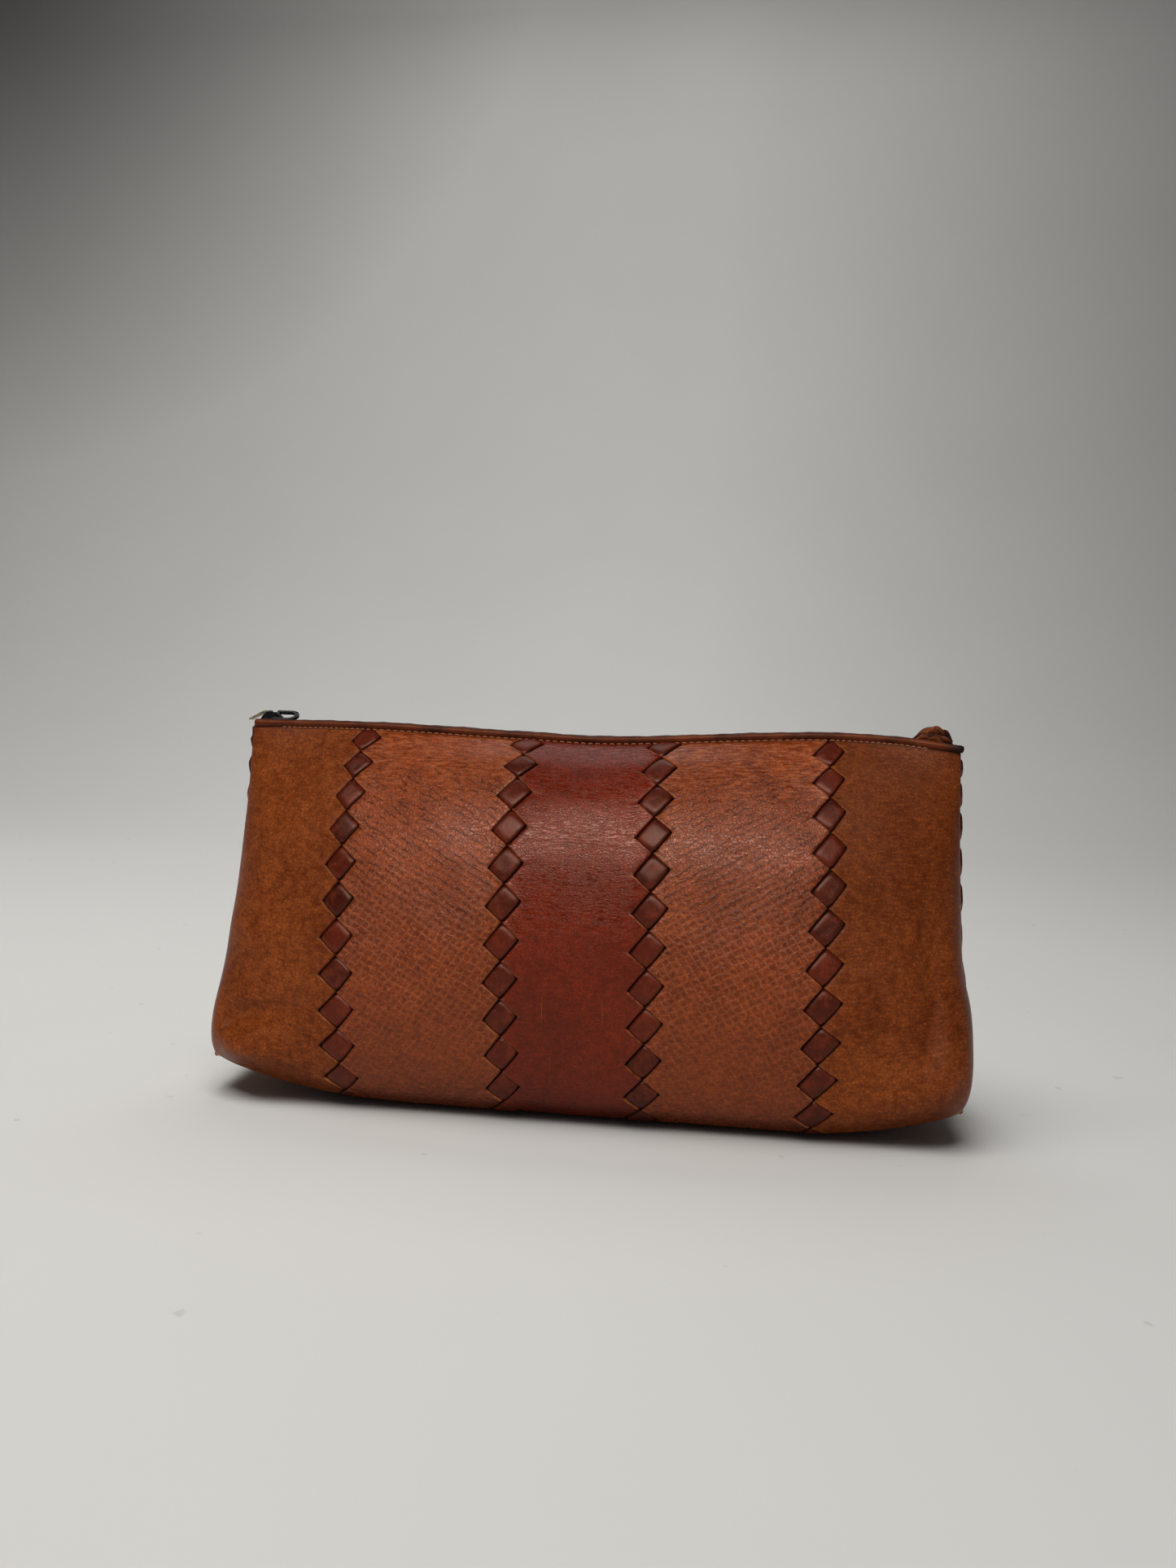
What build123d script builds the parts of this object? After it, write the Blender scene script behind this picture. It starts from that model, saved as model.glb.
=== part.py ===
from build123d import *
import os

# Zip-top leather pouch with four laced columns and boxed bottom corners.
# +X runs along the bag, the front faces -Y, +Z is up and the base rests on z = 0.
# Lengths are millimetres and angles are degrees.

# Body
LIP_Z = 147.5               # cut top edge of the leather
LIP_Y = 8.4                 # outer face of the leather at that edge
END_X = 148.0               # outer face of each end
LOFT_X = 101.0              # beyond here the section narrows towards the end
WALL = 1.7                  # leather and its backing
LINING = 0.5
# A section is a flat base, then arcs (radius, turn), then a straight run up to the lip.
MIDDLE = {"rise": 0.0, "flat": 22.0, "arcs": [(20, 60), (65, 30), (280, 10), (84, 36)]}
END = {"rise": 14.0, "flat": 29.0, "arcs": [(7, 60), (7, 30), (40, 10), (600, 8)]}

# Laced columns
COLUMN_X = {"left_outer": -94.0, "left_inner": -28.0, "right_inner": 28.0, "right_outer": 94.0}
GAP = 3.0                   # between neighbouring panels, filled by the lace
LACE_WIDTH = 13.0
LACE_PROUD = 0.8
CORNER_TOP_Z = 21.0         # the side seam ends here, above the boxed corner
SIDE_LACE_WIDTH = 8.0
CORNER_SEAM_Z = 17.0
CORNER_SEAM_LENGTH = 68.0
CORNER_SEAM_HEIGHT = 3.2
CORNER_SEAM_PROUD = 1.5

# Bound top edge
BIND_INNER_Y = 5.2
BIND_OUTER_Y = 8.7
BIND_TOP_Z = 151.2
BIND_END_X = 147.5
BIND_RADIUS = 1.2
STITCH_PITCH = 3.0
STITCH = (2.2, 0.35, 0.5)
STITCH_SPAN = 282.0
STITCH_Z = 148.3

# Zip
ZIP_Z = 148.7               # middle of the tape and of the teeth
ZIP_START_X = -145.0
ZIP_TAIL_X = 136.0
TAPE = 0.4
TAPE_DROP = 8.0             # the sewn flange below the lip
TOOTH_PITCH = 2.8
TOOTH_WIDTH = 1.2
TOOTH_HEIGHT = 2.2
TOOTH_OUTER_Y = 2.8
TOOTH_OVERLAP = 0.7         # how far a tooth reaches past the middle
CHAIN_START_X = -139.8
BOTTOM_STOP_X = 116.0

# Slider, and the ring that pulls it
SLIDER_X = -139.0
SLIDER_LENGTH = 12.0
SLIDER_WIDTH = 8.8
SLIDER_GAP = 2.6            # between the two plates
PLATE = 0.9
TAPE_SLOT = 1.0
FLANGE = 1.1
WEDGE = (4.0, 2.0)
BRIDGE_WIDTH = 2.8
BRIDGE_TOP_Z = 155.3
EYE_X = -136.5
EYE_Z = 153.6
EYE_CLEARANCE = 0.08
LEAF = 0.5
LEAF_WIDTH = 4.2
RING_TILT = 25.0            # the ring lies over towards the front
RING_ROD = 0.7              # radius of its straight bar
RING_WIDTH = 8.6
RING_LENGTH = 9.6
RING_BAND = 1.6
RING_THICK = 1.2

# Folded leather tab on the zip's tail
TAB_HALF_WIDTH = 4.4
TAB_FILLET = 1.0


def section(x, shape, inset):
    """The bag's cross-section at x, drawn inset from the leather's outer face."""
    floor_z = shape["rise"] + inset
    with BuildSketch(Plane.YZ.offset(x)) as sketch:
        with BuildLine():
            edge = Line((0, floor_z), (shape["flat"], floor_z))
            for radius, turn in shape["arcs"]:
                edge = JernArc(edge @ 1, edge % 1, radius - inset, turn)
            outer_end = edge @ 1 + Vector(edge.tangent_at(1).Y, -edge.tangent_at(1).X) * inset
            lean = (Vector(LIP_Y, LIP_Z) - outer_end).normalized()
            top_z = LIP_Z if inset <= 0 else LIP_Z + WALL
            lip = edge @ 1 + lean * ((top_z - (edge @ 1).Y) / lean.Y)
            Line(edge @ 1, lip)
            Line(lip, (0, top_z))
            mirror(about=Plane.YZ)
        make_face()
    return sketch.sketch


def volume(inset):
    """The whole bag as one solid, inset from the leather's outer face."""
    end_x = END_X - inset
    with BuildPart() as middle:
        extrude(section(-LOFT_X, MIDDLE, inset), amount=2 * LOFT_X)
    with BuildPart() as left_end:
        loft([section(-LOFT_X, MIDDLE, inset), section(-end_x, END, inset)], ruled=True)
    with BuildPart() as right_end:
        loft([section(LOFT_X, MIDDLE, inset), section(end_x, END, inset)], ruled=True)
    with BuildPart() as solid:
        for portion in (middle, left_end, right_end):
            add(portion.part)
    return solid.part


def save(piece, name):
    """Label a finished sub-part and write it under its node's name."""
    piece.label = name
    export_step(piece, f"parts/{name}.step")


def keep_between(low_x, high_x):
    """Trim the part under construction to a slice across the bag."""
    split(bisect_by=Plane.YZ.offset(low_x), keep=Keep.TOP)
    split(bisect_by=Plane.YZ.offset(high_x), keep=Keep.BOTTOM)


os.makedirs("parts", exist_ok=True)

outer_volume = volume(0)
lining_volume = volume(WALL)
cavity_volume = volume(WALL + LINING)
lace_volume = volume(-LACE_PROUD)

# ---- Three middle panels, each one piece of leather from lip to lip under the base ----
MIDDLE_PANELS = {
    "left_embossed_panel": ("left_outer", "left_inner"),
    "centre_panel": ("left_inner", "right_inner"),
    "right_embossed_panel": ("right_inner", "right_outer"),
}
for name, (left, right) in MIDDLE_PANELS.items():
    with BuildPart() as panel:
        add(outer_volume)
        add(lining_volume, mode=Mode.SUBTRACT)
        keep_between(COLUMN_X[left] + GAP / 2, COLUMN_X[right] - GAP / 2)
    save(panel.part, name)

# ---- End panels: front, base and back in one piece, slit where the side seam is laced ----
SLIT_HEIGHT = LIP_Z - CORNER_TOP_Z
END_PANEL_X = COLUMN_X["right_outer"] + GAP / 2
for name, side in (("left_end_panel", -1), ("right_end_panel", 1)):
    with BuildPart() as end_panel:
        add(outer_volume)
        add(lining_volume, mode=Mode.SUBTRACT)
        split(bisect_by=Plane.YZ.offset(side * END_PANEL_X), keep=Keep.TOP if side > 0 else Keep.BOTTOM)
        with BuildSketch(Plane.XY.offset(CORNER_TOP_Z)):
            with Locations((side * END_X, 0)):
                Rectangle(4 * WALL, GAP)
        extrude(amount=SLIT_HEIGHT, mode=Mode.SUBTRACT)
    save(end_panel.part, name)

# ---- Laced columns: a strip in the gap and the woven cover over both panels' edges ----
for column, x in COLUMN_X.items():
    with BuildPart() as lacing:
        add(outer_volume)
        add(lining_volume, mode=Mode.SUBTRACT)
        keep_between(x - GAP / 2, x + GAP / 2)
    with BuildPart() as cover:
        add(lace_volume)
        add(outer_volume, mode=Mode.SUBTRACT)
        keep_between(x - LACE_WIDTH / 2, x + LACE_WIDTH / 2)
        split(bisect_by=Plane.XY, keep=Keep.TOP)
    with BuildPart() as laced_column:
        add(lacing.part)
        add(cover.part)
    save(laced_column.part, f"{column}_lacing")

# ---- Side seams, laced from the lip down to the boxed corner ----
for name, side in (("left", -1), ("right", 1)):
    with BuildPart() as side_lacing:
        with BuildSketch(Plane.XY.offset(CORNER_TOP_Z)):
            with Locations((side * (END_X - WALL / 2), 0)):
                Rectangle(WALL, GAP)
            with Locations((side * (END_X + LACE_PROUD / 2), 0)):
                Rectangle(LACE_PROUD, SIDE_LACE_WIDTH)
        extrude(amount=SLIT_HEIGHT)
    save(side_lacing.part, f"{name}_side_lacing")

    with BuildPart() as corner_seam:
        with BuildSketch(Plane.YZ.offset(side * END_X)):
            with Locations((0, CORNER_SEAM_Z)):
                SlotOverall(CORNER_SEAM_LENGTH, CORNER_SEAM_HEIGHT)
        extrude(amount=side * CORNER_SEAM_PROUD)
        outer_face = corner_seam.faces().sort_by(Axis.X)[-1 if side > 0 else 0]
        fillet(outer_face.edges(), radius=CORNER_SEAM_PROUD / 2)
    save(corner_seam.part, f"{name}_corner_seam")

# ---- Bound top edges and their stitching ----
BIND_WIDTH = BIND_OUTER_Y - BIND_INNER_Y
BIND_MID_Y = (BIND_OUTER_Y + BIND_INNER_Y) / 2
for name, side in (("front", -1), ("back", 1)):
    with BuildPart() as binding:
        with BuildSketch(Plane.YZ.offset(-BIND_END_X)) as bind_section:
            with Locations((side * BIND_MID_Y, (LIP_Z + BIND_TOP_Z) / 2)):
                Rectangle(BIND_WIDTH, BIND_TOP_Z - LIP_Z)
            fillet(bind_section.vertices().group_by(Axis.Z)[-1], radius=BIND_RADIUS)
        extrude(amount=2 * BIND_END_X)
    save(binding.part, f"{name}_binding")

    with BuildPart() as stitching:
        stitch_count = int(STITCH_SPAN / STITCH_PITCH)
        with Locations((0, side * (BIND_OUTER_Y + STITCH[1] / 2), STITCH_Z)):
            with GridLocations(STITCH_PITCH, 0, stitch_count, 1):
                Box(*STITCH)
    save(stitching.part, f"{name}_top_stitching")

# ---- Lining bag, glued inside the leather ----
with BuildPart() as lining:
    add(lining_volume)
    add(cavity_volume, mode=Mode.SUBTRACT)
    split(bisect_by=Plane.XY.offset(LIP_Z), keep=Keep.BOTTOM)
save(lining.part, "lining")

# ---- Zip tapes and teeth ----
TAPE_OUTER_Y = BIND_INNER_Y
tooth_count = int((BOTTOM_STOP_X - CHAIN_START_X) / TOOTH_PITCH)
chain_middle_x = CHAIN_START_X + tooth_count * TOOTH_PITCH / 2
TOOTH_LENGTH = TOOTH_OUTER_Y + TOOTH_OVERLAP
for name, side in (("front", -1), ("back", 1)):
    with BuildPart() as zip_tape:
        with BuildSketch(Plane.YZ.offset(ZIP_START_X)):
            with BuildLine():
                Polyline(
                    (side * TOOTH_OUTER_Y, ZIP_Z - TAPE / 2),
                    (side * TOOTH_OUTER_Y, ZIP_Z + TAPE / 2),
                    (side * TAPE_OUTER_Y, ZIP_Z + TAPE / 2),
                    (side * TAPE_OUTER_Y, ZIP_Z - TAPE_DROP),
                    (side * (TAPE_OUTER_Y - TAPE), ZIP_Z - TAPE_DROP),
                    (side * (TAPE_OUTER_Y - TAPE), ZIP_Z - TAPE / 2),
                    close=True,
                )
            make_face()
        extrude(amount=ZIP_TAIL_X - ZIP_START_X)
    save(zip_tape.part, f"{name}_zip_tape")

    with BuildPart() as zip_teeth:
        tooth_y = side * (TOOTH_OUTER_Y - TOOTH_LENGTH / 2)
        with Locations((chain_middle_x + side * TOOTH_PITCH / 4, tooth_y, ZIP_Z)):
            with GridLocations(TOOTH_PITCH, 0, tooth_count, 1):
                Box(TOOTH_WIDTH, TOOTH_LENGTH, TOOTH_HEIGHT)
    save(zip_teeth.part, f"{name}_zip_teeth")

# ---- Stops at both ends of the chain ----
with BuildPart() as top_stops:
    for side in (-1, 1):
        with Locations((SLIDER_X - 3.5, side * 2.2, ZIP_Z)):
            Box(2.4, 1.2, TOOTH_HEIGHT)
save(top_stops.part, "zip_top_stops")

with BuildPart() as bottom_stop:
    with Locations((BOTTOM_STOP_X + TOOTH_PITCH / 2, 0, ZIP_Z)):
        Box(2.2, 2 * TOOTH_OUTER_Y, TOOTH_HEIGHT + 0.4)
    fillet(bottom_stop.edges().filter_by(Axis.Y), radius=0.5)
save(bottom_stop.part, "zip_bottom_stop")

# ---- Slider: two plates joined by the wedge, with flanges that leave a slot for the tape ----
plate_offset = SLIDER_GAP / 2 + PLATE / 2
flange_height = (SLIDER_GAP - TAPE_SLOT) / 2
with BuildPart() as slider_body:
    for level in (-1, 1):
        with BuildSketch(Plane.XY.offset(ZIP_Z + level * plate_offset - PLATE / 2)):
            with Locations((SLIDER_X, 0)):
                RectangleRounded(SLIDER_LENGTH, SLIDER_WIDTH, radius=2.2)
        extrude(amount=PLATE)
        flange_z = ZIP_Z + level * (TAPE_SLOT / 2 + flange_height / 2)
        for side in (-1, 1):
            with Locations((SLIDER_X, side * (SLIDER_WIDTH / 2 - FLANGE / 2), flange_z)):
                Box(SLIDER_LENGTH - 4, FLANGE, flange_height)
    with Locations((SLIDER_X - SLIDER_LENGTH / 2 + WEDGE[0] / 2, 0, ZIP_Z)):
        Box(WEDGE[0], WEDGE[1], SLIDER_GAP)
save(slider_body.part, "slider_body")

# ---- Bridge over the slider, drilled for the ring along the ring's own axis ----
BRIDGE_BASE_Z = ZIP_Z + SLIDER_GAP / 2 + PLATE
ring_plane = Plane(origin=(EYE_X, 0, EYE_Z), x_dir=(1, 0, 0), z_dir=(0, 0, 1)).rotated((RING_TILT, 0, 0))
eye_plane = Plane(origin=ring_plane.origin, x_dir=ring_plane.x_dir, z_dir=ring_plane.y_dir)
with BuildPart() as slider_bridge:
    with BuildSketch(Plane.XZ.offset(-BRIDGE_WIDTH / 2)):
        with BuildLine():
            Polyline(
                (SLIDER_X - 4.8, BRIDGE_BASE_Z),
                (SLIDER_X - 3.2, BRIDGE_TOP_Z - 1.7),
                (SLIDER_X - 1.6, BRIDGE_TOP_Z - 0.25),
                (SLIDER_X, BRIDGE_TOP_Z),
                (SLIDER_X + 2.6, BRIDGE_TOP_Z - 0.2),
                (SLIDER_X + 5.0, BRIDGE_TOP_Z - 2.2),
                (SLIDER_X + 5.4, BRIDGE_BASE_Z),
                close=True,
            )
        make_face()
    extrude(amount=BRIDGE_WIDTH)
    with BuildSketch(eye_plane):
        Circle(RING_ROD + EYE_CLEARANCE)
    extrude(amount=BRIDGE_WIDTH, both=True, mode=Mode.SUBTRACT)
save(slider_bridge.part, "slider_bridge")

# ---- Leaf of the locking spring, which droops past the slider's nose ----
with BuildPart() as slider_leaf:
    with BuildSketch(Plane.XZ.offset(-LEAF_WIDTH / 2)):
        with BuildLine():
            Polyline(
                (SLIDER_X, BRIDGE_TOP_Z),
                (SLIDER_X, BRIDGE_TOP_Z + LEAF),
                (SLIDER_X - 2.6, BRIDGE_TOP_Z + 0.3),
                (SLIDER_X - 9.0, BRIDGE_TOP_Z - 3.2),
                (SLIDER_X - 8.8, BRIDGE_TOP_Z - 3.2 - LEAF),
                (SLIDER_X - 2.2, BRIDGE_TOP_Z - 0.3),
                close=True,
            )
        make_face()
    extrude(amount=LEAF_WIDTH)
save(slider_leaf.part, "slider_leaf")

# ---- Flat D-shaped pull ring with a round bar through the bridge ----
with BuildPart() as pull_ring:
    with BuildSketch(ring_plane.offset(-RING_THICK / 2)) as ring_outline:
        with BuildLine():
            half = RING_WIDTH / 2
            Line((-RING_BAND / 2, -half), (-RING_BAND / 2, half))
            Line((-RING_BAND / 2, half), (RING_LENGTH - half, half))
            ThreePointArc((RING_LENGTH - half, half), (RING_LENGTH, 0), (RING_LENGTH - half, -half))
            Line((RING_LENGTH - half, -half), (-RING_BAND / 2, -half))
        make_face()
        with BuildLine():
            inner = half - RING_BAND
            Line((-RING_BAND, -inner), (-RING_BAND, inner))
            Line((-RING_BAND, inner), (RING_LENGTH - half, inner))
            ThreePointArc((RING_LENGTH - half, inner), (RING_LENGTH - RING_BAND, 0), (RING_LENGTH - half, -inner))
            Line((RING_LENGTH - half, -inner), (-RING_BAND, -inner))
        make_face(mode=Mode.SUBTRACT)
    extrude(amount=RING_THICK)
    with BuildSketch(eye_plane):
        Circle(RING_ROD)
    extrude(amount=half - RING_BAND / 2, both=True)
save(pull_ring.part, "pull_ring")

# ---- Leather tab folded over the tail of the zip ----
with BuildPart() as zip_end_tab:
    tab_x = BOTTOM_STOP_X + 3.0
    with BuildSketch(Plane.XZ.offset(-TAB_HALF_WIDTH)):
        with BuildLine():
            Polyline(
                (tab_x, ZIP_Z + TAPE / 2),
                (tab_x + 2.5, ZIP_Z + 3.4),
                (tab_x + 10.0, ZIP_Z + 7.8),
                (tab_x + 15.5, ZIP_Z + 5.0),
                (tab_x + 15.0, ZIP_Z + TAPE / 2),
                close=True,
            )
        make_face()
    extrude(amount=2 * TAB_HALF_WIDTH)
    fillet(zip_end_tab.edges().filter_by(Axis.Y).group_by(Axis.Z)[-1], radius=TAB_FILLET)
save(zip_end_tab.part, "zip_end_tab")
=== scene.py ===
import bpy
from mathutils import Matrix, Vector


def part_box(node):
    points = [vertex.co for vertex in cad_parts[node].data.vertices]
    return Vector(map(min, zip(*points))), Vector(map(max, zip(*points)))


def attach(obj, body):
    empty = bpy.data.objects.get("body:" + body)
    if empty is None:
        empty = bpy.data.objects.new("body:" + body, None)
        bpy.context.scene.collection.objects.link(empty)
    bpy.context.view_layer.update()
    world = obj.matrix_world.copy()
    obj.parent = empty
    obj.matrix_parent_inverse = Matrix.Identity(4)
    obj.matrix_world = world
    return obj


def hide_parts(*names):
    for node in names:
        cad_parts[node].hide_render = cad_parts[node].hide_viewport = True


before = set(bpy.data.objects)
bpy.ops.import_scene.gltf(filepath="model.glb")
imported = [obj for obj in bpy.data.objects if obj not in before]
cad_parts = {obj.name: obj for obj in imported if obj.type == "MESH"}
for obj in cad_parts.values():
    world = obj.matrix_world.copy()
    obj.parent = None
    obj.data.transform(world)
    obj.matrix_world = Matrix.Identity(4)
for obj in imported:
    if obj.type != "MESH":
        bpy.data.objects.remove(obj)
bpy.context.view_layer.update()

import math

import bmesh
import bpy
import numpy as np
from mathutils import Matrix, Vector

# All places below are worked out from the frame. Inside the shape code lengths are millimetres.
MM = 0.001


def node_box(node):
    """Lowest and highest corner of a CAD node, in millimetres."""
    low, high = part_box(node)
    return np.array(low) / MM, np.array(high) / MM


COLUMNS = ("left_outer", "left_inner", "right_inner", "right_outer")
COLUMN_X = [float(sum(b[0] for b in node_box(f"{c}_lacing")) / 2) for c in COLUMNS]
OUTER_X = COLUMN_X[3]
LIP_CUT = float(node_box("front_binding")[0][2])
LIP_Y = float(-sum(b[1] for b in node_box("front_binding")) / 2)
SEAM_FOOT_Z = float(node_box("left_side_lacing")[0][2])


# ---- camera, light and floor

scene = bpy.context.scene
camera = bpy.data.objects.new("camera", bpy.data.cameras.new("camera"))
scene.collection.objects.link(camera)
YAW, PITCH, ROLL = math.radians(-7.63), math.radians(3.13), math.radians(1.92)
ahead = Vector((math.sin(YAW) * math.cos(PITCH), math.cos(YAW) * math.cos(PITCH), -math.sin(PITCH)))
level = Vector((math.cos(YAW), -math.sin(YAW), 0))
upright = level.cross(ahead)
across = level * math.cos(ROLL) + upright * math.sin(ROLL)
over = upright * math.cos(ROLL) - level * math.sin(ROLL)
camera.rotation_euler = Matrix((across, over, -ahead)).transposed().to_euler()
camera.location = (0.0659, -0.5141, 0.1585)
camera.data.lens = 29.12
camera.data.sensor_width = 36.0
camera.data.clip_start = 0.01
scene.camera = camera
scene.view_settings.view_transform = "Standard"


# ---- shader helpers

class Shader:
    """A small wrapper that keeps node-building readable."""

    def __init__(self, name):
        self.material = bpy.data.materials.new(name)
        self.material.use_nodes = True
        self.tree = self.material.node_tree
        self.bsdf = self.tree.nodes["Principled BSDF"]

    def node(self, kind, **settings):
        made = self.tree.nodes.new(kind)
        for key, value in settings.items():
            setattr(made, key, value)
        return made

    def link(self, source, target):
        self.tree.links.new(source, target)

    def put(self, target, value):
        """Set an input from a socket or from a plain value."""
        if isinstance(value, bpy.types.NodeSocket):
            self.link(value, target)
        else:
            target.default_value = value

    def place(self, scale=(1, 1, 1), uv=None, turn=0.0):
        """Object coordinates, or a named UV map, stretched and turned."""
        if uv:
            source = self.node("ShaderNodeUVMap", uv_map=uv).outputs[0]
        else:
            source = self.node("ShaderNodeTexCoord").outputs["Object"]
        mapping = self.node("ShaderNodeMapping")
        self.link(source, mapping.inputs["Vector"])
        mapping.inputs["Scale"].default_value = scale
        mapping.inputs["Rotation"].default_value = (0, 0, turn)
        return mapping.outputs[0]

    def noise(self, where, scale, detail=4.0, rough=0.55, distort=0.0):
        made = self.node("ShaderNodeTexNoise")
        self.link(where, made.inputs["Vector"])
        made.inputs["Scale"].default_value = scale
        made.inputs["Detail"].default_value = detail
        made.inputs["Roughness"].default_value = rough
        made.inputs["Distortion"].default_value = distort
        return made.outputs["Fac"]

    def cells(self, where, scale, feature="DISTANCE_TO_EDGE", randomness=1.0):
        made = self.node("ShaderNodeTexVoronoi", feature=feature)
        self.link(where, made.inputs["Vector"])
        made.inputs["Scale"].default_value = scale
        made.inputs["Randomness"].default_value = randomness
        return made.outputs["Distance"]

    def ramp(self, value, *stops):
        """Map a 0 to 1 value through (place, level) stops."""
        made = self.node("ShaderNodeValToRGB")
        self.link(value, made.inputs["Fac"])
        band = made.color_ramp
        while len(band.elements) < len(stops):
            band.elements.new(0.5)
        for element, (place, level) in zip(band.elements, stops):
            element.position = place
            element.color = level if hasattr(level, "__len__") else (level, level, level, 1)
        return made.outputs["Color"]

    def math(self, operation, a, b=0.0, clamp=False):
        made = self.node("ShaderNodeMath", operation=operation, use_clamp=clamp)
        self.put(made.inputs[0], a)
        self.put(made.inputs[1], b)
        return made.outputs[0]

    def times(self, a, b):
        return self.math("MULTIPLY", a, b)

    def plus(self, a, b):
        return self.math("ADD", a, b)

    def inverse(self, value):
        return self.math("SUBTRACT", 1.0, value)

    def mix(self, factor, a, b, blend="MIX"):
        made = self.node("ShaderNodeMix", data_type="RGBA", blend_type=blend)
        self.put(made.inputs["Factor"], factor)
        self.put(made.inputs[6], a)
        self.put(made.inputs[7], b)
        return made.outputs[2]

    def lay(self, colour, mask, amount, over):
        """Another colour laid over one where the mask shows, by an amount."""
        return self.mix(self.times(mask, amount), colour, over)

    def axes(self, where):
        """The three outputs of a place."""
        parts = self.node("ShaderNodeSeparateXYZ")
        self.link(where, parts.inputs[0])
        return parts.outputs

    def bands(self, where, direction, scale, **settings):
        made = self.node("ShaderNodeTexWave", bands_direction=direction)
        self.link(where, made.inputs["Vector"])
        made.inputs["Scale"].default_value = scale
        for key, value in settings.items():
            made.inputs[key.replace("_", " ")].default_value = value
        return made.outputs["Fac"]

    def attribute(self, name):
        return self.node("ShaderNodeAttribute", attribute_name=name).outputs["Fac"]

    def bump(self, height, strength, distance, normal=None):
        made = self.node("ShaderNodeBump")
        self.put(made.inputs["Height"], height)
        made.inputs["Strength"].default_value = strength
        made.inputs["Distance"].default_value = distance
        if normal is not None:
            self.link(normal, made.inputs["Normal"])
        return made.outputs["Normal"]

    def finish(self, colour, roughness, normal=None, **plain):
        self.put(self.bsdf.inputs["Base Color"], colour)
        self.put(self.bsdf.inputs["Roughness"], roughness)
        if normal is not None:
            self.link(normal, self.bsdf.inputs["Normal"])
        for key, value in plain.items():
            self.bsdf.inputs[key.replace("_", " ")].default_value = value
        return self.material


def rgb(red, green, blue):
    """A linear colour from 0 to 255 sRGB levels."""
    def linear(level):
        c = level / 255
        return c / 12.92 if c <= 0.04045 else ((c + 0.055) / 1.055) ** 2.4
    return (linear(red), linear(green), linear(blue), 1.0)


# ---- the bag's surface

def smooth_through(x, points):
    """A smooth curve through a few (x, value) points."""
    px = np.array([p[0] for p in points], float)
    py = np.array([p[1] for p in points], float)
    slope = np.gradient(py, px)
    x = np.clip(x, px[0], px[-1])
    i = np.clip(np.searchsorted(px, x, side="right") - 1, 0, len(px) - 2)
    width = px[i + 1] - px[i]
    t = (x - px[i]) / width
    a = (1 + 2 * t) * (1 - t) ** 2 * py[i] + t * (1 - t) ** 2 * width * slope[i]
    b = t * t * (3 - 2 * t) * py[i + 1] + t * t * (t - 1) * width * slope[i + 1]
    return a + b


def smooth_step(x, low, high):
    t = np.clip((x - low) / (high - low), 0, 1)
    return t * t * (3 - 2 * t)


# The lip's wave along the bag, above the straight edge of the frame.
LIP_WAVE = [(-147, 0.8), (-94, 1.2), (-28, -0.6), (2, -1.3), (28, -0.2), (60, 1.9), (94, 3.4), (118, 2.8),
            (147, -0.3)]
# The wall from the lip to the base: (half depth, height) on a bag whose lip is 150 high.
WALL_LINE = [(7.0, 150), (14, 146), (24, 138.5), (34.5, 125), (42.5, 106), (46.6, 84), (47.6, 62), (46, 42),
             (42, 21), (37.5, 9.5), (31, 2.2)]
# Down the wall, from the lip (0) to the base (1): where the bag ends along x, and how square its plan is.
LEFT_REACH = [(0, 144.4), (0.25, 145.8), (0.5, 147.9), (0.7, 149.8), (0.85, 151.0), (1, 150.6)]
RIGHT_REACH = [(0, 143.8), (0.3, 145.0), (0.5, 146.6), (0.64, 148.0), (0.74, 151.2), (0.83, 151.6),
               (0.92, 150.6), (1, 148.2)]
SQUARENESS = [(0, 1.05), (0.12, 1.25), (0.35, 1.8), (0.6, 2.55), (0.8, 4.4), (1, 12.0)]
WALL_HEIGHT, WALL_FOOT = 150.0, WALL_LINE[-1][1]
LIP_SEAT = 1.2               # the walls' cut lip stands this far up inside the binding
CORE = 7.0                   # the walls stay this far apart at the zip
SOFT = 0.02                  # keeps the bulge from coming to a point in the middle
ROWS = 150
COLS_MIDDLE = 190
COLS_END = 70


def run_along(line):
    """Distance along a line of points, at each point."""
    return np.concatenate([[0], np.cumsum(np.linalg.norm(np.diff(line, axis=0), axis=1))])


def wall_profile():
    """Half depth and height for evenly spaced steps down the wall."""
    key = np.arange(len(WALL_LINE))
    fine = np.linspace(0, key[-1], 600)
    y = smooth_through(fine, list(zip(key, [p[0] for p in WALL_LINE])))
    z = smooth_through(fine, list(zip(key, [p[1] for p in WALL_LINE])))
    length = run_along(np.stack([y, z], -1))
    step = np.linspace(0, length[-1], ROWS)
    return np.interp(step, length, y), np.interp(step, length, z)


def base_rise(x):
    """How far the underside lifts off the floor towards the boxed corners."""
    left = 12.5 * np.clip((-x - 62) / 84, 0, 1) ** 2.2
    right = 10.5 * np.clip((x - 88) / 58, 0, 1) ** 1.7
    return left + right


def wall_point(side, x, y_half, z_line):
    """A point of a wall, from its half depth and its height on the straight bag."""
    edge_z = WALL_FOOT + base_rise(x)
    lip_z = LIP_CUT + LIP_SEAT + smooth_through(x, LIP_WAVE)
    share = (z_line - WALL_FOOT) / (WALL_HEIGHT - WALL_FOOT)
    return np.stack([x, side * y_half, edge_z + share * (lip_z - edge_z)], -1)


def end_reach(t, right):
    """Where the bag ends, along x, at each step down the wall."""
    return smooth_through(t, RIGHT_REACH if right else LEFT_REACH)


def hump(x, z, at, spread):
    return np.exp(-((x - at[0]) / spread[0]) ** 2 - ((z - at[1]) / spread[1]) ** 2)


def plateau(value, rise, fall):
    """1 between two places, easing to 0 outside them."""
    return smooth_step(value, *rise) * (1 - smooth_step(value, *fall))


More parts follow.
